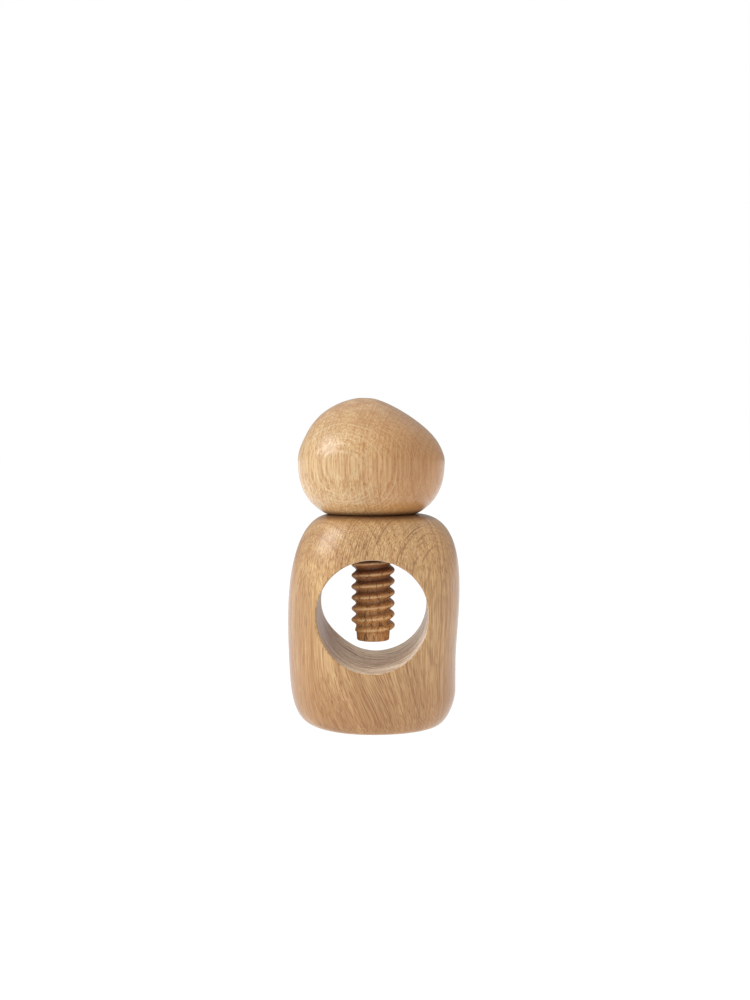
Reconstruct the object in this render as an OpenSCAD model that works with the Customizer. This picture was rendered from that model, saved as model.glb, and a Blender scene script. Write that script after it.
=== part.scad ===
// Wooden screw nutcracker: a rounded block with a nut chamber through it, and a carved knob
// that turns a wooden screw down into the chamber.
// The origin is on the screw's axis, in the face the block stands on. Z is up, and the nut
// chamber runs along Y. The pieces are drawn with the screw fully down.

/* [Body] */
// Height of the body
body_h = 94; // [90:0.5:104]
// Width of the body where it is widest
body_w = 77.4; // [72:0.2:90]
// Depth of the body where it is deepest
body_d = 62.5; // [60:0.5:76]

/* [Nut chamber] */
// Radius of the round chamber
chamber_r = 24.3; // [20:0.1:25]
// Height of the chamber's axis
chamber_z = 51.3; // [48:0.1:54]

/* [Knob] */
// Width of the knob where it is widest
knob_w = 66; // [58:0.2:74]
// Depth of the knob where it is deepest
knob_d = 59; // [52:0.5:70]
// Height of the knob
knob_h = 52.4; // [46:0.2:60]

/* [Screw] */
// Rise of the screw in one turn
pitch = 5; // [4:0.5:6]
// Radius over the crests of the thread
crest_r = 9.8; // [9:0.1:10]
// Depth of the thread, from crest to root
thread_depth = 2.05; // [1.6:0.05:2.2]
// Radial gap between the screw's thread and the body's
thread_gap = 0.3; // [0.2:0.05:0.4]
// Height of the screw's end above the base when the knob is down
screw_z = 36.9; // [34:0.1:40]
// Length of the plain tip below the thread
tip_len = 4.2; // [3:0.2:6]
// Radius of the plain tip
tip_r = 7.3; // [6:0.1:7.5]
// How deep the screw's plain head sits in the knob
head_len = 9; // [8:0.5:12]
// Radius of the plain head
head_r = 10.4; // [10.2:0.1:11]

/* [Dowel] */
// Radius of the dowel that joins the knob to the screw
dowel_r = 4; // [3:0.5:5]
// Length of the dowel, half of it in the knob and half in the screw
dowel_len = 36; // [24:1:40]
// Radial gap around the dowel
dowel_gap = 0.05; // [0.02:0.01:0.08]

/* [Hidden] */

around = 48;       // points in one ring of the body or the knob
body_levels = 34;  // bands from the body's base to its top
knob_levels = 26;  // bands from the knob's base to its crown
thread_steps = 36; // steps in one turn of the thread
past = 1;          // how far a cutter runs past the face it cuts

reach_x = body_w / 2;
reach_y = body_d / 2;
// One row for each side of the body, in the order right, back, left, front:
// [widest reach, reach above the foot, height of the widest place, flat at the top,
//  shoulder's exponent, flat at the base, height of the foot's curve, foot's exponent]
SIDES = [
    [reach_x + 0.3, reach_x - 1.4, 0.63 * body_h, 18, 2.65, 30, 14.5, 1.6],
    [reach_y - 1.7, reach_y - 2.0, 0.45 * body_h, 17, 2.5, 24, 14, 2.6],
    [reach_x - 0.3, reach_x - 1.2, 0.475 * body_h, 18, 2.35, 24, 29, 2.9],
    [reach_y + 1.7, reach_y + 1.4, 0.45 * body_h, 17, 2.5, 27.5, 11, 3.2]
];
body_plan_exponent = 2.12; // 2 is an ellipse, and more is squarer
waist_fall = 34;           // height over which a side draws in below its widest place

mouth_depth = 1.2; // depth of the countersink at the tapped hole's mouth

// The knob is widest at its belly. Its crown leans to the left and to the back, and its
// right shoulder is straighter than its left one.
knob_z = body_h;
belly_z = knob_z + 0.46 * knob_h;
belly_x = -0.8;
under_h = 27.7;       // half height of the knob's underside, before its flat cuts it
under_exponent = 2.5;
CROWN = [1.56, 1.7, 1.78, 1.66]; // exponents of the crown: right, back, left, front
crown_end = 0.05;     // the crown closes with a small flat, this far below its peak
knob_plan_exponent = 2.05;
lean_x = -2.5;
lean_y = 2;
lean_start = 8;       // the crown starts to lean this far above the belly
lean_h = 18.5;        // height over which it leans

root_r = crest_r - thread_depth;
crest_z = screw_z + 6.65; // height at which a crest crosses the X axis
crest_flat = 0.07;        // half the width of the crest, in pitches
root_flat = 0.10;         // half the width of the root, in pitches
thread_bottom = screw_z + tip_len;
socket_top = knob_z + head_len;
head_bottom = knob_z + 2;       // the thread runs out just above the knob's underside
dowel_bottom = socket_top - dowel_len / 2;
tip_edge = 0.6;        // bevel around the screw's end
tip_taper = 0.3;       // how much wider the tip is at its top

// 0 below 0, 1 above 1, and a smooth step between
function smooth(t) = let (c = min(max(t, 0), 1)) c * c * (3 - 2 * c);

// A quarter superellipse: 1 at t = 0, falling to 0 at t = 1
function fall(t, n) = pow(max(1 - pow(min(max(t, 0), 1), n), 0), 1 / n);

// Reach of one side of the body at height z
function reach(s, z) =
    let (side = s[0] - (s[0] - s[1]) * smooth((s[2] - z) / waist_fall),
         shoulder = s[3] + (side - s[3]) * fall((z - s[2]) / (body_h - s[2]), s[4]),
         foot = s[5] + (side - s[5]) * fall((s[6] - z) / s[6], s[7]))
    z > s[2] ? shoulder : foot;

// Point at angle a on a superellipse whose reach differs from side to side
function plan_point(a, right, back, left, front, n) =
    let (c = cos(a), s = sin(a))
    [(c > 0 ? right : -left) * pow(abs(c), 2 / n),
     (s > 0 ? back : -front) * pow(abs(s), 2 / n)];

function body_ring(z) = [
    for (j = [0 : around - 1])
        let (p = plan_point(360 * j / around, reach(SIDES[0], z), reach(SIDES[1], z),
                            reach(SIDES[2], z), reach(SIDES[3], z), body_plan_exponent))
        [p[0], p[1], z]
];

// Share of its widest reach that one side of the knob has at height z
function knob_share(side, z) =
    z > belly_z
        ? fall((z - belly_z) / (knob_z + knob_h - belly_z), CROWN[side])
        : fall((belly_z - z) / under_h, under_exponent);

function knob_ring(z) = [
    for (j = [0 : around - 1])
        let (lean = smooth((z - belly_z - lean_start) / lean_h),
             p = plan_point(360 * j / around,
                            knob_share(0, z) * knob_w / 2, knob_share(1, z) * knob_d / 2,
                            knob_share(2, z) * knob_w / 2, knob_share(3, z) * knob_d / 2,
                            knob_plan_exponent))
        [p[0] + belly_x + lean * lean_x, p[1] + lean * lean_y, z]
];

// Heights that crowd together towards both ends
function level(i, n, low, high) = low + (high - low) * (1 - cos(180 * i / n)) / 2;

// Closed solid through a stack of rings with the same number of points
module loft(rings) {
    n = len(rings[0]);
    top = len(rings) - 1;
    polyhedron(
        points = [for (ring = rings) for (p = ring) p],
        faces = concat(
            [[for (j = [0 : n - 1]) j]],
            [for (i = [0 : top - 1]) for (j = [0 : n - 1])
                [i * n + j, (i + 1) * n + j, (i + 1) * n + (j + 1) % n]],
            [for (i = [0 : top - 1]) for (j = [0 : n - 1])
                [i * n + j, (i + 1) * n + (j + 1) % n, i * n + (j + 1) % n]],
            [[for (j = [n - 1 : -1 : 0]) top * n + j]]
        ),
        convexity = 6
    );
}

// Corners of the thread's profile over one pitch: [share of the pitch, radius]
function thread_profile(grow) = [
    [crest_flat, crest_r + grow],
    [0.5 - root_flat, root_r + grow],
    [0.5 + root_flat, root_r + grow],
    [1 - crest_flat, crest_r + grow]
];

// A ring of points at the root of the thread
function root_ring(z) = [
    for (j = [0 : thread_steps - 1])
        let (a = 360 * j / thread_steps)
        [root_r * cos(a), root_r * sin(a), z]
];

// The two triangles of a four-cornered face
function quad(a, b, c, d) = [[a, c, b], [a, d, c]];

// Triangles from one corner to each edge of a line of corners
function fan(apex, line) = [for (i = [0 : len(line) - 2]) [apex, line[i + 1], line[i]]];

// Right-handed threaded rod between two heights. The crest crosses angle 0 at crest_z plus
// whole pitches, and both ends run past the heights asked for and are cut off flat.
module threaded_rod(low, high, grow) {
    profile = thread_profile(grow);
    count = len(profile);
    first = floor((low - crest_z) / pitch) - 2;
    turns = ceil((high - crest_z) / pitch) + 1 - first;
    last = turns * thread_steps;
    helix = [
        for (q = [0 : last]) for (k = [0 : count - 1])
            let (a = 360 * q / thread_steps,
                 z = crest_z + pitch * (first + a / 360 + profile[k][0]))
            [profile[k][1] * cos(a), profile[k][1] * sin(a), z]
    ];
    low_end = (last + 1) * count;
    high_end = low_end + thread_steps;
    tail = last - thread_steps;
    intersection() {
        polyhedron(
            points = concat(helix, root_ring(crest_z + pitch * (first - 1)),
                            root_ring(crest_z + pitch * (first + turns + 2))),
            faces = concat(
                // flanks, crest and root along the helix
                [for (q = [0 : last - 1]) for (k = [0 : count - 2])
                    for (f = quad(q * count + k, (q + 1) * count + k,
                                  (q + 1) * count + k + 1, q * count + k + 1)) f],
                // each turn joined to the next
                [for (q = [0 : tail - 1])
                    for (f = quad(q * count + count - 1, (q + 1) * count + count - 1,
                                  (q + 1 + thread_steps) * count, (q + thread_steps) * count)) f],
                // skirts from the first and last turns to the end rings
                [for (j = [0 : thread_steps - 2])
                    for (f = quad(low_end + j, low_end + j + 1, (j + 1) * count, j * count)) f],
                [for (j = [0 : thread_steps - 2])
                    for (f = quad((tail + j) * count + count - 1, (tail + j + 1) * count + count - 1,
                                  high_end + j + 1, high_end + j)) f],
                // the step at the start of the thread and the one at its end
                fan((thread_steps - 1) * count,
                    concat([low_end + thread_steps - 1, low_end], [for (k = [0 : count - 1]) k],
                           [thread_steps * count])),
                fan(high_end + thread_steps - 1,
                    concat([(last - 1) * count + count - 1],
                           [for (k = [count - 1 : -1 : 0]) last * count + k],
                           [tail * count + count - 1, high_end])),
                [[for (j = [0 : thread_steps - 1]) low_end + j]],
                [[for (j = [thread_steps - 1 : -1 : 0]) high_end + j]]
            ),
            convexity = 10
        );
        translate([0, 0, low])
            cylinder(h = high - low, r = crest_r + grow + past, $fn = 64);
    }
}

module body() {
    color("burlywood")
        difference() {
            loft([for (i = [0 : body_levels]) body_ring(level(i, body_levels, 0, body_h))]);
            translate([0, 0, chamber_z])
                rotate([90, 0, 0])
                    cylinder(h = 2 * body_d, r = chamber_r, center = true, $fn = 96);
            threaded_rod(chamber_z + chamber_r / 2, body_h + past, thread_gap);
            translate([0, 0, body_h - mouth_depth])
                cylinder(h = mouth_depth + past,
                         r1 = crest_r + thread_gap - mouth_depth,
                         r2 = crest_r + thread_gap + past, $fn = 64);
        }
}

module knob() {
    color("wheat")
        difference() {
            loft([for (i = [0 : knob_levels])
                knob_ring(level(i, knob_levels, knob_z, knob_z + knob_h - crown_end))]);
            translate([0, 0, knob_z - past])
                cylinder(h = head_len + past, r = head_r, $fn = 64);
            cylinder(h = dowel_bottom + dowel_len, r = dowel_r + dowel_gap, $fn = 48);
        }
}

module screw() {
    color("saddlebrown")
        difference() {
            union() {
                threaded_rod(thread_bottom, head_bottom + past, 0);
                translate([0, 0, head_bottom])
                    cylinder(h = socket_top - head_bottom, r = head_r, $fn = 64);
                translate([0, 0, screw_z])
                    rotate_extrude($fn = 64)
                        polygon([[0, 0], [tip_r - tip_edge, 0], [tip_r, tip_edge],
                                 [tip_r + tip_taper, tip_len + past], [0, tip_len + past]]);
            }
            translate([0, 0, dowel_bottom])
                cylinder(h = dowel_len, r = dowel_r + dowel_gap, $fn = 48);
        }
}

module dowel() {
    color("tan")
        translate([0, 0, dowel_bottom])
            cylinder(h = dowel_len, r = dowel_r, $fn = 48);
}

body();
knob();
screw();
dowel();
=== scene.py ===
import math

import bmesh
import bpy
import numpy as np
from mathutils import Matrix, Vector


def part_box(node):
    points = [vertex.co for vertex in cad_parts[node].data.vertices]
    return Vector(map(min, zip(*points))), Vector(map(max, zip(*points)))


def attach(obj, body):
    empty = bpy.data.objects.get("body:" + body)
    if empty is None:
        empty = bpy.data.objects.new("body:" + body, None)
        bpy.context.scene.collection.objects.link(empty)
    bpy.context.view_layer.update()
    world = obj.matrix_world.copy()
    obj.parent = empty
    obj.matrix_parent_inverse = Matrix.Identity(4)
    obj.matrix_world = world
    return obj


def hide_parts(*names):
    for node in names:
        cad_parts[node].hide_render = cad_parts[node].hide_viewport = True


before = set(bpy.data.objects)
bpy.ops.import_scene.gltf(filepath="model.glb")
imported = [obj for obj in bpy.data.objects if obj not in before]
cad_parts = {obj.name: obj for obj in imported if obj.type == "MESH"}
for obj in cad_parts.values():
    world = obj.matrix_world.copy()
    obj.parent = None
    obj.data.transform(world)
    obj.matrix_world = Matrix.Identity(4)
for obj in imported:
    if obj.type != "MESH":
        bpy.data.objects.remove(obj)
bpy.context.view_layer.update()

MM = 0.001  # shapes are worked out in millimetres and written to meshes in metres


def cad_size(node):
    """Lowest and highest corner of a CAD node, in millimetres."""
    low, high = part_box(node)
    return np.array(low) / MM, np.array(high) / MM


BODY_LOW, BODY_HIGH = cad_size("body")
KNOB_LOW, KNOB_HIGH = cad_size("knob")
SCREW_LOW, SCREW_HIGH = cad_size("screw")
DOWEL_LOW, DOWEL_HIGH = cad_size("dowel")

# ---------------------------------------------------------------- shape formulas

BODY_H = BODY_HIGH[2]
CHAMBER_Z = 51.3        # height of the chamber's axis, which crosses the screw's
CHAMBER_R = 24.3
RIM_R = 0.9             # rounding of the chamber's mouths
HAND_CUT = (1.6, 0.5)   # how far the back of the chamber's wall stands proud and falls away
HAND_CUT_Y = (-5, 25)   # the stretch of y over which that grows
PROUD_AT, PROUD_SPREAD = 225, 31  # where it stands proud, in degrees round the chamber from +X
BARE_Y = (-5, 20)       # the bare wood's edge moves outward sooner, and so stays past the wall
PAST_BODY = 90.0        # further from the middle of the chamber than the body reaches
FINE_POINTS = 420       # along the outside in a section, before the mesh's points are spaced
BODY_PLAN_EXPONENT = 2.12  # seen from above, 2 is an ellipse and more is squarer
WAIST_FALL = 34.0       # height over which a side draws in below its widest place
# As in the CAD source, one row for each side, in the order right, back, left, front: widest
# reach, reach above the foot, height of the widest place, flat at the top, shoulder's
# exponent, flat at the base, height of the foot's curve, foot's exponent.
SIDES = (
    (BODY_HIGH[0], BODY_HIGH[0] - 1.7, 0.63 * BODY_H, 18, 2.65, 30, 14.5, 1.6),
    (BODY_HIGH[1], BODY_HIGH[1] - 0.3, 0.45 * BODY_H, 17, 2.5, 24, 14, 2.6),
    (-BODY_LOW[0], -BODY_LOW[0] - 0.9, 0.475 * BODY_H, 18, 2.35, 24, 29, 2.9),
    (-BODY_LOW[1], -BODY_LOW[1] - 0.3, 0.45 * BODY_H, 17, 2.5, 27.5, 11, 3.2),
)

KNOB_Z = KNOB_LOW[2]
CROWN_END = 0.05               # the CAD crown closes with a small flat, this far below its peak
KNOB_TOP = KNOB_HIGH[2] + CROWN_END
KNOB_W = KNOB_HIGH[0] - KNOB_LOW[0]
KNOB_D = KNOB_HIGH[1] - KNOB_LOW[1]
BELLY_X = (KNOB_HIGH[0] + KNOB_LOW[0]) / 2
BELLY_Z = KNOB_Z + 0.46 * (KNOB_TOP - KNOB_Z)  # height at which the knob is widest
UNDER_H = 27.7                 # half height of the knob's underside, before its flat cuts it
UNDER_EXPONENT = 2.5
CROWN = (1.56, 1.7, 1.78, 1.66)  # the crown's exponents, in the order of SIDES
KNOB_PLAN_EXPONENT = 2.05
LEAN = (-2.5, 2.0, 8.0, 18.5)  # how far the crown leans in x and y, from what height, over what
BASE_EDGE = 0.8                # rounding around the knob's flat underside
CROWN_WEAR = (0.35, 2.6)       # how deep handling has worn the knob's peak, and over what radius

PITCH = 5.0
CREST_R = 9.8
ROOT_R = 7.75
THREAD_GAP = 0.3               # between the screw's thread and the body's
CREST_Z = SCREW_LOW[2] + 6.65  # height at which a crest crosses the X axis
CREST_FULLNESS = 1.25          # 1 is a sine wave, and more fills its crests out
THREAD_BOTTOM = SCREW_LOW[2] + 4.2  # below it the screw ends in a plain tip
THREAD_START = (THREAD_BOTTOM - 0.4, THREAD_BOTTOM + 1.8)  # where a crest grows to full height
TIP_R = 7.3
TIP_TAPER = 0.3                # how much wider the tip is at its top
TIP_EDGE = 0.6                 # rounding around the screw's end
HEAD_Z = BODY_H + 2.0          # the thread runs out here into the plain head
HEAD_TOP = SCREW_HIGH[2]
HEAD_R = 10.4
FIT_GAP = 0.05                 # around the head in its socket and the dowel in its holes
SOCKET_R = HEAD_R + FIT_GAP
BORE_R = (DOWEL_HIGH[0] - DOWEL_LOW[0]) / 2 + FIT_GAP


def smooth(t):
    c = np.clip(t, 0, 1)
    return c * c * (3 - 2 * c)


def grown(value, stretch):
    """0 before a stretch of values, 1 after it, and a smooth step between."""
    start, end = stretch
    return smooth((value - start) / (end - start))


def fall(t, n):
    """A quarter superellipse: 1 at t = 0, falling to 0 at t = 1."""
    return np.maximum(1 - np.clip(t, 0, 1) ** n, 0) ** (1 / n)


def reach(side, z):
    wide, low_wide, wide_z, top_flat, top_n, base_flat, foot_z, foot_n = side
    wall = wide - (wide - low_wide) * smooth((wide_z - z) / WAIST_FALL)
    shoulder = top_flat + (wall - top_flat) * fall((z - wide_z) / (BODY_H - wide_z), top_n)
    foot = base_flat + (wall - base_flat) * fall((foot_z - z) / foot_z, foot_n)
    return np.where(z > wide_z, shoulder, foot)


def outside_body(x, y, z):
    """Positive outside the body's outer shape, negative inside."""
    rx = np.where(x > 0, reach(SIDES[0], z), reach(SIDES[2], z))
    ry = np.where(y > 0, reach(SIDES[1], z), reach(SIDES[3], z))
    n = BODY_PLAN_EXPONENT
    value = (np.abs(x) / rx) ** n + (np.abs(y) / ry) ** n - 1
    return np.where((z < 0) | (z > BODY_H), 1.0, value)


def ray_length(phi, psi):
    """Distance from the chamber's axis to the outer shape. phi turns about that axis, and psi
    goes from the front of the object, at 0, to its back, at pi."""
    near, far = np.zeros_like(psi), np.full_like(psi, PAST_BODY)
    for _ in range(34):  # each time round halves the range
        t = (near + far) / 2
        rho = t * np.sin(psi)
        x, z = rho * np.cos(phi), CHAMBER_Z + rho * np.sin(phi)
        out = outside_body(x, -t * np.cos(psi), z) > 0
        near, far = np.where(out, near, t), np.where(out, t, far)
    return (near + far) / 2


def rim_angle(phi, front):
    """The psi at which the chamber's wall meets the outer shape."""
    near = np.full_like(phi, 0.02 if front else math.pi - 0.02)
    far = np.full_like(phi, math.pi / 2)
    for _ in range(30):  # each time round halves the range
        psi = (near + far) / 2
        inner = ray_length(phi, psi) * np.sin(psi) < CHAMBER_R
        near, far = np.where(inner, psi, near), np.where(inner, far, psi)
    return (near + far) / 2


def rim_arc(corner, outer, into, steps):
    """Round corner between the chamber's wall and the outer curve, in one section plane. It
    returns the arc from the wall to the outer curve and how far along that curve it ends."""
    wall = np.array([0.0, into])
    near = outer[np.linalg.norm(outer - corner, axis=1) > RIM_R][0]
    tangent = (near - corner) / np.linalg.norm(near - corner)
    half = math.acos(np.clip(tangent @ wall, -1, 1)) / 2
    length = RIM_R / math.tan(half)
    middle = tangent + wall
    centre = corner + middle / np.linalg.norm(middle) * RIM_R / math.sin(half)
    a, b = corner + wall * length - centre, corner + tangent * length - centre
    turn = math.acos(np.clip(a @ b / RIM_R**2, -1, 1))
    f = np.linspace(0, 1, steps + 1)[:, None]
    arc = (np.sin((1 - f) * turn) * a + np.sin(f * turn) * b) / math.sin(turn)
    return centre + arc, length


def uneven_wall(angle, rho, y):
    """The chamber was finished by hand: towards the back its wall stands a little proud at
    the lower left, and falls away at both sides. It returns the change of radius."""
    proud, away = HAND_CUT
    from_proud = (angle - math.radians(PROUD_AT)) / math.radians(PROUD_SPREAD)
    change = away * math.cos(angle) ** 2 - proud * math.exp(-from_proud**2)
    outside = smooth((rho - CHAMBER_R) / 3)
    return change * grown(y, HAND_CUT_Y) * (1 - outside)


def body_sections(turns, outer_steps, wall_steps, rim_steps):
    """One closed section of the body for each angle about the chamber's axis."""
    phi = np.linspace(0, 2 * math.pi, turns, endpoint=False)
    first, last = rim_angle(phi, True), rim_angle(phi, False)
    f = np.linspace(0, 1, FINE_POINTS)
    psi = first[:, None] + (last - first)[:, None] * f
    t = ray_length(np.repeat(phi[:, None], len(f), 1), psi)
    rho, y = t * np.sin(psi), -t * np.cos(psi)
    rings = []
    for i, angle in enumerate(phi):
        curve = np.stack([rho[i], y[i]], 1)
        front, at_front = rim_arc(curve[0], curve, 1, rim_steps)
        back, at_back = rim_arc(curve[-1], curve[::-1], -1, rim_steps)
        along = np.concatenate([[0], np.cumsum(np.linalg.norm(np.diff(curve, axis=0), axis=1))])
        at = np.linspace(at_front, along[-1] - at_back, outer_steps + 1)[1:-1]
        outer = np.stack([np.interp(at, along, curve[:, k]) for k in (0, 1)], 1)
        wall = np.linspace(back[0], front[0], wall_steps + 1)[1:-1]
        loop = np.concatenate([front, outer, back[::-1], wall])
        rho_cut = loop[:, 0] + uneven_wall(angle, loop[:, 0], loop[:, 1])
        rings.append(np.stack([rho_cut * math.cos(angle), loop[:, 1],
                               CHAMBER_Z + rho_cut * math.sin(angle)], 1))
    return np.array(rings)


def knob_ring(z, angles):
    def share(side):
        up = fall((z - BELLY_Z) / (KNOB_TOP - BELLY_Z), CROWN[side])
        return up if z > BELLY_Z else fall((BELLY_Z - z) / UNDER_H, UNDER_EXPONENT)

    c, s = np.cos(angles), np.sin(angles)
    half_x = np.where(c > 0, share(0), share(2)) * KNOB_W / 2
    half_y = np.where(s > 0, share(1), share(3)) * KNOB_D / 2
    lean = smooth((z - BELLY_Z - LEAN[2]) / LEAN[3])
    edge = max(BASE_EDGE - (z - KNOB_Z), 0) / BASE_EDGE
    inset = BASE_EDGE * (1 - math.sqrt(max(1 - edge * edge, 0)))
    x = (half_x - inset) * np.sign(c) * np.abs(c) ** (2 / KNOB_PLAN_EXPONENT)
    y = (half_y - inset) * np.sign(s) * np.abs(s) ** (2 / KNOB_PLAN_EXPONENT)
    return np.stack([x + BELLY_X + lean * LEAN[0], y + lean * LEAN[1], np.full_like(x, z)], 1)


def ring_at(radius, z, angles):
    """A level ring about the screw's axis. radius is one number, or one for each angle."""
    return np.stack([radius * np.cos(angles), radius * np.sin(angles),
                     np.full_like(angles, z)], 1)


def thread_radius(angles, z, grow=0.0, worn=True):
    """Radius of the rounded right-hand thread, whose crest is at CREST_Z on the X axis."""
    turn = (z - CREST_Z) / PITCH - angles / (2 * math.pi)
    crest = np.round(turn)
    below = (1 - np.cos(2 * math.pi * turn)) / 2
    r = CREST_R - (CREST_R - ROOT_R) * below**CREST_FULLNESS
    if worn:
        crest_z = CREST_Z + PITCH * (crest + angles / (2 * math.pi))
        low, full = THREAD_START
        r = ROOT_R + (r - ROOT_R) * (0.12 + 0.88 * smooth((crest_z - low) / (full - low)))
        r = r + 0.05 * np.sin(3 * angles + 0.9 * z) + 0.03 * np.sin(7 * angles - 1.7 * z)
    return r + grow


# ---------------------------------------------------------------- meshes

SHARP_DEGREES = 42            # an edge that turns more than this is a real corner
BODY_SECTIONS = 288           # around the chamber's axis
BODY_POINTS = (168, 30, 6)    # in a section, along the outside, the wall and each rim
TAP_AROUND, TAP_RISE = 120, 0.21      # points in a ring of the tapped hole, and between rings
SCREW_AROUND, SCREW_RISE = 144, 0.2
KNOB_AROUND = 224
KNOB_LEVELS = (96, 52, 8)     # rings of the knob's crown, underside and bottom edge


def make_object(name, points, faces):
    mesh = bpy.data.meshes.new(name)
    mesh.from_pydata((np.asarray(points) * MM).tolist(), [], faces)
    obj = bpy.data.objects.new(name, mesh)
    bpy.context.scene.collection.objects.link(obj)
    finish_mesh(obj)
    return obj


def finish_mesh(obj):
    """Outward faces, smooth shading, and sharp edges where the shape has a real corner."""
    bm = bmesh.new()
    bm.from_mesh(obj.data)
    bmesh.ops.recalc_face_normals(bm, faces=bm.faces)
    limit = math.radians(SHARP_DEGREES)
    for face in bm.faces:
        face.smooth = True
    for edge in bm.edges:
        edge.smooth = len(edge.link_faces) == 2 and edge.calc_face_angle() < limit
    bm.to_mesh(obj.data)
    bm.free()


def stacked(name, first_pole, rings, last_pole):
    """Closed surface through a stack of rings, with a point closing each end."""
    rings = np.array(rings)
    count, n = rings.shape[:2]
    points = np.concatenate([[first_pole], rings.reshape(-1, 3), [last_pole]])
    faces = [(0, 1 + (j + 1) % n, 1 + j) for j in range(n)]
    for i in range(count - 1):
        a = 1 + i * n
        b = a + n
        faces += [(a + j, a + (j + 1) % n, b + (j + 1) % n, b + j) for j in range(n)]
    a = 1 + (count - 1) * n
    faces += [(a + j, a + (j + 1) % n, len(points) - 1) for j in range(n)]
    return make_object(name, points, faces)


def looped(name, sections):
    """Closed surface through a loop of closed sections."""
    count, n = sections.shape[:2]
    faces = []
    for i in range(count):
        a, b = i * n, (i + 1) % count * n
        faces += [(a + j, a + (j + 1) % n, b + (j + 1) % n, b + j) for j in range(n)]
    return make_object(name, sections.reshape(-1, 3), faces)


def cut_away(obj, cutter):
    """Cuts one closed mesh out of another, and uses the cutter up."""
    cut = obj.modifiers.new("cut", "BOOLEAN")
    cut.operation = "DIFFERENCE"
    cut.solver = "MANIFOLD"
    cut.object = cutter
    shape = obj.evaluated_get(bpy.context.evaluated_depsgraph_get())
    mesh = bpy.data.meshes.new_from_object(shape)
    mesh.materials.clear()
    obj.modifiers.clear()
    obj.data = mesh
    bpy.data.objects.remove(cutter)


def make_tap():
    """What is cut out of the body for the screw: its thread, with a gap, and a countersink."""
    angles = np.linspace(0, 2 * math.pi, TAP_AROUND, endpoint=False)
    low, high = CHAMBER_Z + CHAMBER_R / 2, BODY_H + 1.5
    rings = []
    for z in np.arange(low, high, TAP_RISE):
        mouth = CREST_R + THREAD_GAP - (BODY_H - z)
        radii = np.maximum(thread_radius(angles, z, THREAD_GAP, worn=False), mouth)
        rings.append(ring_at(radii, z, angles))
    return stacked("tap", (0, 0, low), rings, (0, 0, rings[-1][0][2]))


def mark_bare_wall(body):
    """The chamber's wall takes the body's second material."""
    past_wall = 0.1
    for face in body.data.polygons:
        x, y, z = face.center / MM
        away = HAND_CUT[1] * grown(y, BARE_Y)
        bare = math.hypot(x, z - CHAMBER_Z) < CHAMBER_R + away + past_wall
        face.material_index = 1 if bare else 0


def make_body():
    body = looped("oak_body", body_sections(BODY_SECTIONS, *BODY_POINTS))
    cut_away(body, make_tap())
    finish_mesh(body)
    mark_bare_wall(body)
    return body


def wear_down(rings, peak):
    """Rounds the crown's peak, and returns where it then is."""
    depth, spread = CROWN_WEAR
    for ring in rings:
        away = np.linalg.norm(ring[:, :2] - peak[:2], axis=1)
        ring[:, 2] -= depth * np.exp(-(away / spread) ** 2)
    return peak - np.array((0, 0, depth))


def make_knob():
    angles = np.linspace(0, 2 * math.pi, KNOB_AROUND, endpoint=False)
    near_peak = 1.545  # the first ring is a little off the peak, which is at half of pi
    crown_n, under_n, edge_n = KNOB_LEVELS
    crown = [BELLY_Z + (KNOB_TOP - BELLY_Z) * math.sin(t)
             for t in np.linspace(near_peak, 0, crown_n)]
    under = list(np.linspace(BELLY_Z, KNOB_Z + BASE_EDGE, under_n)[1:])
    edge = [KNOB_Z + BASE_EDGE * (1 - math.cos(t))
            for t in np.linspace(math.pi / 2, 0, edge_n)[1:]]
    rings = [knob_ring(z, angles) for z in crown + under + edge]
    peak = wear_down(rings[:crown_n], np.array((BELLY_X + LEAN[0], LEAN[1], KNOB_TOP)))
    rim, socket = rings[-1], ring_at(SOCKET_R, KNOB_Z, angles)
    rings += [rim + (socket - rim) * f for f in (0.15, 0.4, 0.7, 1)]
    rings += [ring_at(SOCKET_R, z, angles) for z in np.linspace(KNOB_Z, HEAD_TOP, 8)[1:]]
    rings += [ring_at(BORE_R, z, angles) for z in np.linspace(HEAD_TOP, DOWEL_HIGH[2], 8)]
    return stacked("oak_knob", peak, rings, (0, 0, DOWEL_HIGH[2]))


def make_screw():
    angles = np.linspace(0, 2 * math.pi, SCREW_AROUND, endpoint=False)
    bottom = SCREW_LOW[2]
    rings = [ring_at(r, bottom, angles) for r in (2.5, 5, TIP_R - TIP_EDGE)]
    for t in np.linspace(0.3, math.pi / 2, 6):
        rings.append(ring_at(TIP_R - TIP_EDGE * (1 - math.sin(t)),
                             bottom + TIP_EDGE * (1 - math.cos(t)), angles))
    for z in np.linspace(bottom + TIP_EDGE, THREAD_BOTTOM, 10)[1:]:
        wide = TIP_R + TIP_TAPER * (z - bottom) / (THREAD_BOTTOM - bottom)
        rings.append(ring_at(wide + 0.03 * np.sin(5 * angles), z, angles))
    for z in np.arange(THREAD_BOTTOM + 0.04, HEAD_Z, SCREW_RISE):
        rings.append(ring_at(thread_radius(angles, z), z, angles))
    rings += [ring_at(HEAD_R, z, angles) for z in np.linspace(HEAD_Z, HEAD_TOP, 6)]
    rings += [ring_at(BORE_R, z, angles) for z in np.linspace(HEAD_TOP, DOWEL_LOW[2], 10)]
    return stacked("wood_screw", (0, 0, bottom), rings, (0, 0, DOWEL_LOW[2]))


# ---------------------------------------------------------------- wood


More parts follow.
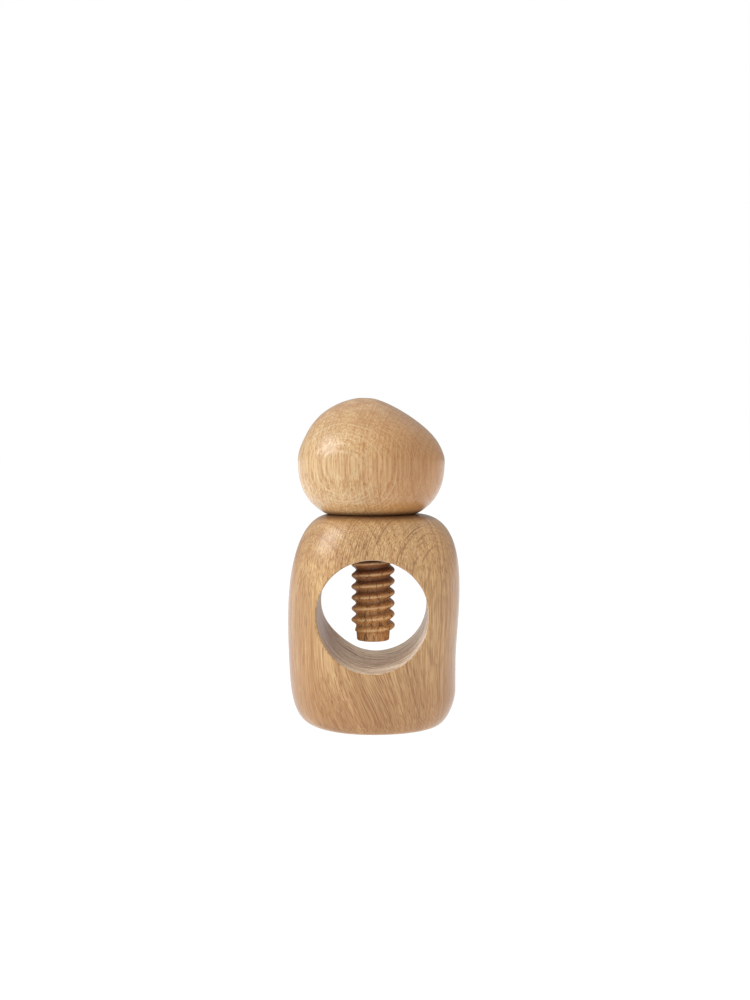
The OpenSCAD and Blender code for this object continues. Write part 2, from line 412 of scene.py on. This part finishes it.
class Nodes:
    """Short names for the shader nodes that a material or a world is made of."""

    def __init__(self, owner):
        self.owner = owner
        owner.use_nodes = True
        self.tree = owner.node_tree
        self.tree.nodes.clear()

    def add(self, kind, inputs=(), **settings):
        node = self.tree.nodes.new(kind)
        for key, value in settings.items():
            setattr(node, key, value)
        for key, value in dict(inputs).items():
            self.put(node.inputs[key], value)
        return node

    def put(self, socket, value):
        if isinstance(value, bpy.types.NodeSocket):
            self.tree.links.new(value, socket)
        else:
            socket.default_value = value

    def math(self, operation, a, b=0.0, c=0.0):
        node = self.add("ShaderNodeMath", operation=operation)
        for socket, value in zip(node.inputs, (a, b, c)):
            self.put(socket, value)
        return node.outputs[0]

    def vector(self, operation, a, b):
        return self.add("ShaderNodeVectorMath", {0: a, 1: b}, operation=operation).outputs[0]

    def combine(self, x=0.0, y=0.0, z=0.0):
        return self.add("ShaderNodeCombineXYZ", {"X": x, "Y": y, "Z": z}).outputs[0]

    def split(self, vector):
        """The X, Y and Z of a vector, by name."""
        return self.add("ShaderNodeSeparateXYZ", {"Vector": vector}).outputs

    def place(self):
        """The point's place in the object's frame, in metres."""
        return self.add("ShaderNodeTexCoord").outputs["Object"]

    def random(self, number):
        """A value from 0 to 1 that is the same wherever the number is."""
        return self.add("ShaderNodeTexWhiteNoise", {"W": number},
                        noise_dimensions="1D").outputs["Value"]

    def noise(self, vector, scale, detail=2.0, rough=0.5):
        at = self.vector("MULTIPLY", vector, scale)
        node = self.add("ShaderNodeTexNoise",
                        {"Vector": at, "Scale": 1.0, "Detail": detail, "Roughness": rough})
        return node.outputs

    def cells(self, vector, scale, feature="F1"):
        at = self.vector("MULTIPLY", vector, scale)
        return self.add("ShaderNodeTexVoronoi", {"Vector": at, "Scale": 1.0},
                        feature=feature).outputs

    def step(self, value, start, end, low=0.0, high=1.0):
        """Smooth step from low at start to high at end, whichever of the two is larger."""
        node = self.add("ShaderNodeMapRange", interpolation_type="SMOOTHSTEP")
        for socket, v in zip(node.inputs, (value, start, end, low, high)):
            self.put(socket, v)
        return node.outputs[0]

    def mix(self, factor, a, b):
        """A colour from a, where the factor is 0, to b, where it is 1."""
        return self.add("ShaderNodeMix", {0: factor, 6: a, 7: b}, data_type="RGBA").outputs[2]

    def ramp(self, value, stops):
        node = self.add("ShaderNodeValToRGB", {"Fac": value})
        band = node.color_ramp
        while len(band.elements) < len(stops):
            band.elements.new(0.5)
        for element, (place, level) in zip(band.elements, stops):
            element.position = place
            element.color = (level, level, level, 1)
        return node.outputs[0]

    def stack(self, at, gap, thickness, waves, patch):
        """Thin sheets stacked across Y, a gap apart, wavy, uneven and broken into patches."""
        wave = self.noise(at, waves, 1.0)[0]
        split = self.split(at)
        count = self.math("MULTIPLY_ADD", split["Y"], 1 / gap, self.math("MULTIPLY", wave, 2.2))
        number = self.math("FLOOR", count)
        off = self.math("ABSOLUTE", self.math("SUBTRACT", self.math("FRACT", count), 0.5))
        line = self.step(off, thickness, thickness / 4)
        apart = self.combine(split["X"], self.math("MULTIPLY", number, 91.7), split["Z"])
        here = self.step(self.noise(apart, patch, 1.0)[0], 0.46, 0.56)
        strength = self.step(self.random(number), 0.0, 1.0, 0.4, 1.0)
        return self.math("MULTIPLY", self.math("MULTIPLY", line, strength), here)

    def finish(self, colour, roughness, height, depth, coat):
        """Oiled wood: bump from the height, and a thin coat of hard oil over it."""
        bump = self.add("ShaderNodeBump", {"Height": height, "Strength": 1.0, "Distance": depth})
        shader = self.add("ShaderNodeBsdfPrincipled", {
            "Base Color": colour, "Roughness": roughness, "Normal": bump.outputs[0],
            "IOR": 1.45, "Coat Weight": coat, "Coat Roughness": 0.25, "Coat IOR": 1.5})
        self.add("ShaderNodeOutputMaterial", {"Surface": shader.outputs[0]})
        return self.owner


def rgb(red, green, blue):
    """A colour given as it looks on screen, from 0 to 255, as linear light."""
    def linear(v):
        v /= 255
        return v / 12.92 if v <= 0.04045 else ((v + 0.055) / 1.055) ** 2.4
    return (linear(red), linear(green), linear(blue), 1.0)


def new_wood(name):
    return Nodes(bpy.data.materials.new(name))


def wood_space(n, angle, place=None):
    """Millimetres in the wood's own frame: x across the rings, y across the rays, z along
    the grain. angle turns the rings' normal about the object's Z axis."""
    turned = n.add("ShaderNodeMapping", {
        "Vector": place or n.place(), "Rotation": (0, 0, -math.radians(angle)),
        "Scale": (1 / MM,) * 3})
    return turned.outputs[0]


def warped(n, space, scale, amount):
    shift = n.vector("SUBTRACT", n.noise(space, scale, 2.0)["Color"], (0.5, 0.5, 0.5))
    return n.vector("ADD", space, n.vector("MULTIPLY", shift, amount))


def growth_rings(n, x, ring_gap):
    """How strongly early wood shows at a place across the rings, and the slow change of tone
    from year to year. Porous early wood starts sharply and thins out over its ring."""
    count = n.math("DIVIDE", x, ring_gap)
    across = n.combine(count)
    tone = n.noise(across, (1.1, 1, 1), 2.0, 0.6)[0]
    count = n.math("ADD", count, n.math("MULTIPLY", n.noise(across, (0.7, 1, 1), 1.0)[0], 1.1))
    band = n.ramp(n.math("FRACT", count),
                  ((0.0, 0.0), (0.1, 1.0), (0.3, 0.55), (0.6, 0.15), (1.0, 0.0)))
    year = n.step(n.random(n.math("FLOOR", count)), 0.0, 1.0, 0.3, 1.0)
    return n.math("MULTIPLY", band, year), n.step(tone, 0.4, 0.6)


def pore_marks(n, grain, wide, long, band):
    """Slender hollows along the grain, crowded in the early wood."""
    cell = n.cells(grain, (1 / wide, 1 / wide, 1 / long))
    pick = n.add("ShaderNodeSeparateColor", {"Color": cell["Color"]}).outputs[0]
    room = n.math("MULTIPLY_ADD", band, 0.7, 0.14)
    return n.math("MULTIPLY", n.step(cell["Distance"], 0.42, 0.2),
                  n.math("LESS_THAN", pick, room))


def oak(n, space, ring_gap, colours, ring, tone, ray, pore, fibres, side_shade):
    """Colour, roughness and height of oak at a place in its own frame. colours are light, mid,
    early wood, pore and ray. ring says how strongly the early wood shows, and tone how much
    darker one year's wood is than another's. ray is the gap between the ray sheets, their
    thickness in gaps, how strongly they show and their patches. pore is a pore's width, length
    and strength. fibres is how many lie side by side in a millimetre and how strongly they
    show. The last argument is painted shade: how much the wood darkens towards +X across the
    rings, the side turned from the key light, and from where to where."""
    light, mid, early, dark, sheet = colours
    gap, thickness, ray_amount, patch = ray
    wide, long, pore_amount = pore
    fine, fibre_amount = fibres
    side_shade_amount, side_shade_start, side_shade_end = side_shade

    bent = warped(n, space, (0.02, 0.02, 0.008), (5, 3, 0))
    grain = warped(n, bent, (0.16, 0.16, 0.03), (0.9, 0.9, 0))
    x = n.split(grain)["X"]
    band, year_tone = growth_rings(n, x, ring_gap)
    pores = pore_marks(n, grain, wide, long, band)

    # rays are thin sheets across the rings, seen as lines end on and as arcs face on
    sheets = n.stack(bent, gap, thickness, (0.03, 0.05, 0.025), patch)
    elsewhere = n.vector("ADD", grain, (31, 7, 13))
    fine_sheets = n.stack(elsewhere, gap * 0.6, 0.3, (0.05, 0.05, 0.05), (0.09, 1, 0.07))
    fine_sheets = n.math("MULTIPLY", fine_sheets, 0.6)

    # fibres, and slow changes of colour through the block
    streak = n.noise(grain, (fine / 2, fine / 2, 0.022), 2.0, 0.7)[0]
    level = n.noise(grain, (fine / 4, fine / 4, 0.012), 1.0)[0]
    veins = n.step(n.math("ABSOLUTE", n.math("SUBTRACT", level, 0.5)), 0.034, 0.008)
    fibre = n.noise(grain, (fine, fine, 0.045), 1.0, 0.6)[0]
    tooth = n.noise(grain, (2.2, 2.2, 0.7), 1.0)[0]
    slow = n.noise(bent, (0.05, 0.05, 0.016), 2.0)[0]

    colour = n.mix(n.step(streak, 0.32, 0.68), light, mid)
    colour = n.mix(n.math("MULTIPLY", year_tone, tone), colour, early)
    colour = n.mix(n.math("MULTIPLY", band, ring), colour, early)
    colour = n.mix(n.step(fibre, 0.47, 0.68, 0.0, fibre_amount), colour, early)
    colour = n.mix(n.math("MULTIPLY", veins, fibre_amount), colour, early)
    colour = n.mix(n.math("MULTIPLY", fine_sheets, ray_amount), colour, sheet)
    colour = n.mix(n.math("MULTIPLY", sheets, ray_amount), colour, sheet)
    colour = n.mix(n.math("MULTIPLY", pores, pore_amount), colour, dark)
    # painted shade towards +X across the rings, the side turned from the key light
    colour = n.mix(n.step(x, side_shade_start, side_shade_end, 0.0, side_shade_amount), colour, early)
    shade = n.math("MULTIPLY", n.step(slow, 0.3, 0.7, 0.93, 1.06),
                   n.step(tooth, 0.25, 0.75, 0.95, 1.05))
    colour = n.vector("MULTIPLY", colour, n.combine(shade, shade, shade))
    # painted shade in a band where the knob meets the body
    colour = n.mix(seam_painted_shade(n), colour, rgb(96, 56, 30))

    height = n.math("SUBTRACT", n.math("MULTIPLY", fibre, 0.5), pores)
    height = n.math("ADD", height, n.math("MULTIPLY", sheets, 0.25))
    rough = n.math("MULTIPLY_ADD", n.math("ADD", pores, band), 0.07, 0.4)
    rough = n.math("MULTIPLY_ADD", tooth, 0.12, rough)
    return colour, rough, height


def seam_painted_shade(n):
    """Painted shade in a band about the height where the knob meets the body."""
    z = n.split(n.place())["Z"]
    away = n.math("ABSOLUTE", n.math("SUBTRACT", z, KNOB_Z * MM))
    return n.step(away, 0.0028, 0.0002, 0.0, 0.75)


def raw_wall(n, colour, rough):
    """The chamber's wall is bare wood, greyer and rougher than the oiled outside, with its
    fibres torn into dark streaks by the tool that went round it. Its near-white colours are
    partly painted light, for the bright light that reaches it from behind."""
    place = n.place()
    flat = n.vector("MULTIPLY", n.vector("SUBTRACT", place, (0, 0, CHAMBER_Z * MM)), (1, 0, 1))
    radius = n.add("ShaderNodeVectorMath", {0: flat}, operation="LENGTH").outputs["Value"]
    start, end = BARE_Y
    away = n.step(n.split(place)["Y"], start * MM, end * MM, 0.0, HAND_CUT[1] * MM)
    inside = n.step(n.math("SUBTRACT", radius, away),
                    (CHAMBER_R + 0.3) * MM, (CHAMBER_R + 0.05) * MM)  # ends within the rim

    space = warped(n, wood_space(n, -22), (0.05, 0.05, 0.05), (3, 8, 3))
    torn = n.noise(space, (0.035, 0.42, 0.035), 3.0, 0.75)[0]
    grit = n.noise(space, (0.7, 0.7, 0.7), 1.0)[0]
    # partly painted light: near-white colours for the light that reaches the wall from behind
    bare = n.mix(n.step(torn, 0.36, 0.6), rgb(255, 240, 216), rgb(232, 204, 172))
    bare = n.mix(n.step(torn, 0.5, 0.66, 0.0, 0.7), bare, rgb(134, 94, 70))
    bare = n.mix(n.step(grit, 0.5, 0.75, 0.0, 0.35), bare, rgb(120, 84, 66))
    # painted shade on the left of the chamber's wall, which faces away from the key light
    left = n.step(n.split(flat)["X"], -CHAMBER_R * MM, -0.004, 0.66, 0.0)
    bare = n.mix(left, bare, rgb(132, 84, 56))
    return n.mix(inside, colour, bare), n.math("MULTIPLY_ADD", inside, 0.3, rough)


def leaning_grain(n):
    """Object coordinates in which the grain leans over in the middle of the body's lower
    half, as it does where it flows round a knot."""
    place = n.place()
    split = n.split(place)
    below = n.step(split["Z"], 0.036, -0.004, 0.0, 0.013)
    aside = n.math("ABSOLUTE", n.math("ADD", split["X"], 0.003))
    lean = n.math("MULTIPLY", below, n.step(aside, 0.035, 0.004))
    return n.vector("SUBTRACT", place, n.combine(lean))


def body_oak(name, coat):
    """The body's wood. Its outside and the chamber's wall differ only in how much oil is on
    them, so that the same grain runs through both."""
    n = new_wood(name)
    colours = (rgb(230, 192, 136), rgb(216, 173, 114), rgb(162, 106, 50), rgb(102, 58, 26),
               rgb(132, 80, 38))
    split = n.split(n.place())
    ray_amount = n.math("MULTIPLY", n.step(split["X"], 0.018, 0.03, 0.85, 0.25),
                        n.step(split["X"], -0.028, -0.012, 0.4, 1.0))
    grain = n.vector("ADD", wood_space(n, 45, leaning_grain(n)), (-0.5, 0, 0))
    colour, rough, height = oak(
        n, grain, 3.65, colours, ring=0.4, tone=0.3, ray=(1.3, 0.17, ray_amount, (0.1, 1, 0.1)),
        pore=(0.6, 8.0, 0.5), fibres=(2.6, 0.57), side_shade=(0.14, -34, 12))
    # painted shade: the wood is darkened towards the foot and towards both sides
    foot_and_side_shade = rgb(152, 93, 36)
    colour = n.mix(n.step(split["Z"], 0.05, 0.0, 0.0, 0.48), colour, foot_and_side_shade)
    aside = n.math("ABSOLUTE", split["X"])
    colour = n.mix(n.step(aside, 0.025, 0.038, 0.0, 0.5), colour, foot_and_side_shade)
    colour, rough = raw_wall(n, colour, rough)
    return n.finish(colour, rough, height, 0.000025, coat)


def knob_oak():
    n = new_wood("knob_oak")
    colours = (rgb(233, 198, 146), rgb(213, 172, 115), rgb(172, 108, 38), rgb(114, 70, 34),
               rgb(244, 219, 176))
    grain = n.vector("ADD", wood_space(n, -18.7), (0, 0, 60))
    colour, rough, height = oak(
        n, grain, 1.9, colours, ring=0.5, tone=0.0, ray=(1.2, 0.2, 0.6, (0.06, 1, 0.07)),
        pore=(0.75, 1.9, 0.42), fibres=(1.7, 0.45), side_shade=(0.7, -12, 30))
    # darker towards the crown in uneven patches: partly painted shade, as little light falls from
    # above, partly handling smudges
    high = n.step(n.split(n.place())["Z"], 0.126, 0.145)
    crown_shade_and_smudges = n.step(n.noise(grain, (0.16, 0.16, 0.2), 2.0)[0], 0.35, 0.65, 0.15, 0.6)
    colour = n.mix(n.math("MULTIPLY", high, crown_shade_and_smudges), colour, colours[2])
    return n.finish(colour, rough, height, 0.000035, coat=0.9)


def dowel_wood():
    n = new_wood("dowel_wood")
    colours = (rgb(214, 178, 132), rgb(200, 160, 112), rgb(178, 134, 88), rgb(130, 90, 54),
               rgb(186, 140, 92))
    colour, rough, height = oak(
        n, wood_space(n, 10), 3.0, colours, ring=0.5, tone=0.1,
        ray=(0.9, 0.2, 0.4, (0.1, 1, 0.1)), pore=(0.6, 3.0, 0.5), fibres=(2, 0.5),
        side_shade=(0, 0, 1))
    return n.finish(colour, rough, height, 0.00004, coat=0.0)


def screw_wood():
    """Dark close-grained wood, cracked across the crests, with painted shade in its grooves and
    high up under the chamber's ceiling, and a painted highlight along its crests.
    """
    n = new_wood("screw_wood")
    space = wood_space(n, 25)
    grain = warped(n, space, (0.12, 0.12, 0.02), (1.5, 1.5, 0))
    fibre = n.noise(grain, (1.7, 1.7, 0.1), 2.0, 0.7)[0]
    streak = n.noise(grain, (0.6, 0.9, 0.03), 3.0, 0.6)[0]
    mottle = n.noise(space, (0.45, 0.45, 0.7), 3.0, 0.6)[0]

    # short dark cracks that run up across the crests
    crackle = n.cells(warped(n, space, (0.3, 0.3, 0.3), (1.4, 1.4, 1.4)),
                      (1 / 4.2, 1 / 4.2, 1 / 26.0), "DISTANCE_TO_EDGE")["Distance"]
    broken = n.noise(space, (0.3, 0.3, 0.35), 2.0)[0]
    cracks = n.math("MULTIPLY", n.step(crackle, 0.045, 0.01), n.step(broken, 0.48, 0.58))

    # where a point lies between two crests: 0 and 1 are crests, and 0.5 is the root
    split = n.split(n.place())
    turned = n.math("DIVIDE", n.math("ARCTAN2", split["Y"], split["X"]), 2 * math.pi)
    rise = n.math("DIVIDE", n.math("SUBTRACT", split["Z"], CREST_Z * MM), PITCH * MM)
    between = n.math("FRACT", n.math("SUBTRACT", rise, turned))
    # painted shade on each upper flank and root, which face the chamber's ceiling
    groove = n.ramp(between, ((0.08, 0.0), (0.22, 0.6), (0.33, 1.0), (0.5, 1.0), (0.6, 0.45),
                              (0.72, 0.05), (1.0, 0.0)))
    # painted highlight along the crests
    crest = n.ramp(between, ((0.0, 1.0), (0.1, 0.0), (0.84, 0.0), (0.95, 1.0)))
    threaded = n.step(split["Z"], (THREAD_BOTTOM - 0.3) * MM, (THREAD_BOTTOM + 1.2) * MM)
    ceiling = (CHAMBER_Z + CHAMBER_R) * MM
    high = n.step(split["Z"], THREAD_BOTTOM * MM, ceiling)
    # the painted shade in the grooves grows deeper towards the ceiling
    groove_shade_depth = n.math("MULTIPLY_ADD", high, 0.54, 0.42)
    groove = n.math("MULTIPLY", n.math("MULTIPLY", groove, threaded), groove_shade_depth)
    crest = n.math("MULTIPLY", n.math("MULTIPLY", crest, threaded), 0.45)

    colour = n.mix(n.step(fibre, 0.34, 0.66), rgb(255, 206, 140), rgb(200, 134, 78))
    colour = n.mix(n.step(streak, 0.45, 0.7, 0.0, 0.4), colour, rgb(150, 96, 58))
    colour = n.mix(n.step(mottle, 0.45, 0.7, 0.0, 0.3), colour, rgb(138, 84, 48))
    # painted shade that deepens up the screw towards the chamber's ceiling
    colour = n.mix(n.math("MULTIPLY", high, 0.8), colour, rgb(132, 72, 40))
    colour = n.mix(n.step(threaded, 1.0, 0.0, 0.0, 0.2), colour, rgb(120, 72, 42))
    # painted highlight on the crests
    colour = n.mix(crest, colour, rgb(255, 222, 166))
    # painted shade in the grooves
    colour = n.mix(groove, colour, rgb(74, 38, 20))
    # painted shade: near black just under the chamber's ceiling, where the screw lies in its shadow
    under_ceiling = n.step(split["Z"], ceiling - 0.004, ceiling - 0.0018, 0.0, 0.92)
    colour = n.mix(under_ceiling, colour, rgb(60, 32, 18))
    colour = n.mix(n.math("MULTIPLY", cracks, 0.7), colour, rgb(60, 30, 16))
    height = n.math("SUBTRACT", n.math("MULTIPLY", fibre, 0.6), n.math("MULTIPLY", cracks, 2.0))
    rough = n.step(fibre, 0.3, 0.7, 0.42, 0.56)
    return n.finish(colour, rough, height, 0.0001, coat=0.3)


# ---------------------------------------------------------------- studio


FLOOR_HALF = 6.0
FLOOR_GLOW = 0.985          # lifts the floor to a plain white
ROOM = (0.62, -0.2)         # brightness at the sides, and how it changes towards the back
OVERHEAD = 0.75
KEY_PLACE, KEY_TARGET = (-0.71, -0.23, 0.59), (0, 0, 0.09)
KEY_SIZE, KEY_WATTS = (0.48, 0.48), 3.3
CAMERA_PLACE = (0.0058, -0.565, 0.1272)
CAMERA_DOWN, CAMERA_TURN = 2.74, 0.5    # degrees below level, and to the left
LENS_MM, SENSOR_MM = 45.2, 36


def white_floor():
    mesh = bpy.data.meshes.new("floor")
    corners = [(x * FLOOR_HALF, y * FLOOR_HALF, 0) for x, y in ((-1, -1), (1, -1), (1, 1), (-1, 1))]
    mesh.from_pydata(corners, [], [(0, 1, 2, 3)])
    floor = bpy.data.objects.new("floor", mesh)
    bpy.context.scene.collection.objects.link(floor)
    n = Nodes(bpy.data.materials.new("floor_white"))
    shader = n.add("ShaderNodeBsdfPrincipled", {
        "Base Color": (0.1, 0.1, 0.1, 1), "Roughness": 0.9, "Specular IOR Level": 0.0,
        "Emission Color": (1, 1, 1, 1), "Emission Strength": FLOOR_GLOW})
    n.add("ShaderNodeOutputMaterial", {"Surface": shader.outputs[0]})
    mesh.materials.append(n.owner)


def softbox(name, place, target, size, watts):
    light = bpy.data.lights.new(name, "AREA")
    light.shape = "RECTANGLE"
    light.size, light.size_y = size
    light.energy = watts
    lamp = bpy.data.objects.new(name, light)
    bpy.context.scene.collection.objects.link(lamp)
    lamp.location = place
    away = np.array(place) - np.array(target)
    yaw = math.atan2(away[1], away[0]) + math.pi / 2
    lean = math.atan2(math.hypot(away[0], away[1]), away[2])
    lamp.rotation_euler = (lean, 0, yaw)


def studio_world():
    """A white room that is dimmer behind the object than in front of it. The camera itself
    sees plain white."""
    world = bpy.data.worlds.new("studio")
    bpy.context.scene.world = world
    n = Nodes(world)
    split = n.split(n.add("ShaderNodeTexCoord").outputs["Generated"])
    sides, change = ROOM
    walls = n.math("MULTIPLY_ADD", split["Y"], change, sides)
    light = n.math("MULTIPLY_ADD", n.math("SUBTRACT", OVERHEAD, walls),
                   n.step(split["Z"], 0.42, 0.8), walls)
    seen = n.add("ShaderNodeLightPath").outputs["Is Camera Ray"]
    glow = n.add("ShaderNodeBackground", {
        "Color": (1, 1, 1, 1), "Strength": n.math("MAXIMUM", light, seen)})
    n.add("ShaderNodeOutputWorld", {"Surface": glow.outputs[0]})


def add_camera():
    lens = bpy.data.cameras.new("camera")
    lens.lens = LENS_MM
    lens.sensor_width = SENSOR_MM
    lens.clip_start = 0.01
    camera = bpy.data.objects.new("camera", lens)
    bpy.context.scene.collection.objects.link(camera)
    camera.location = CAMERA_PLACE
    camera.rotation_euler = (math.radians(90 - CAMERA_DOWN), 0, math.radians(CAMERA_TURN))
    bpy.context.scene.camera = camera


# ---------------------------------------------------------------- put together

body = make_body()
knob = make_knob()
screw = make_screw()
for piece, node, rides, slot, looks in (
    (body, "body", "block", "body_oak", (body_oak("body_oak", 0.85), body_oak("bare_wall", 0.35))),
    (knob, "knob", "handle", "knob_oak", (knob_oak(),)),
    (screw, "screw", "handle", "screw_wood", (screw_wood(),)),
):
    for look in looks:
        piece.data.materials.append(look)
    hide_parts(node)
    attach(piece, rides)
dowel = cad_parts["dowel"]
dowel.data.materials.clear()
dowel.data.materials.append(dowel_wood())

white_floor()
studio_world()
softbox("key", KEY_PLACE, KEY_TARGET, KEY_SIZE, KEY_WATTS)
add_camera()
bpy.context.scene.view_settings.view_transform = "Standard"
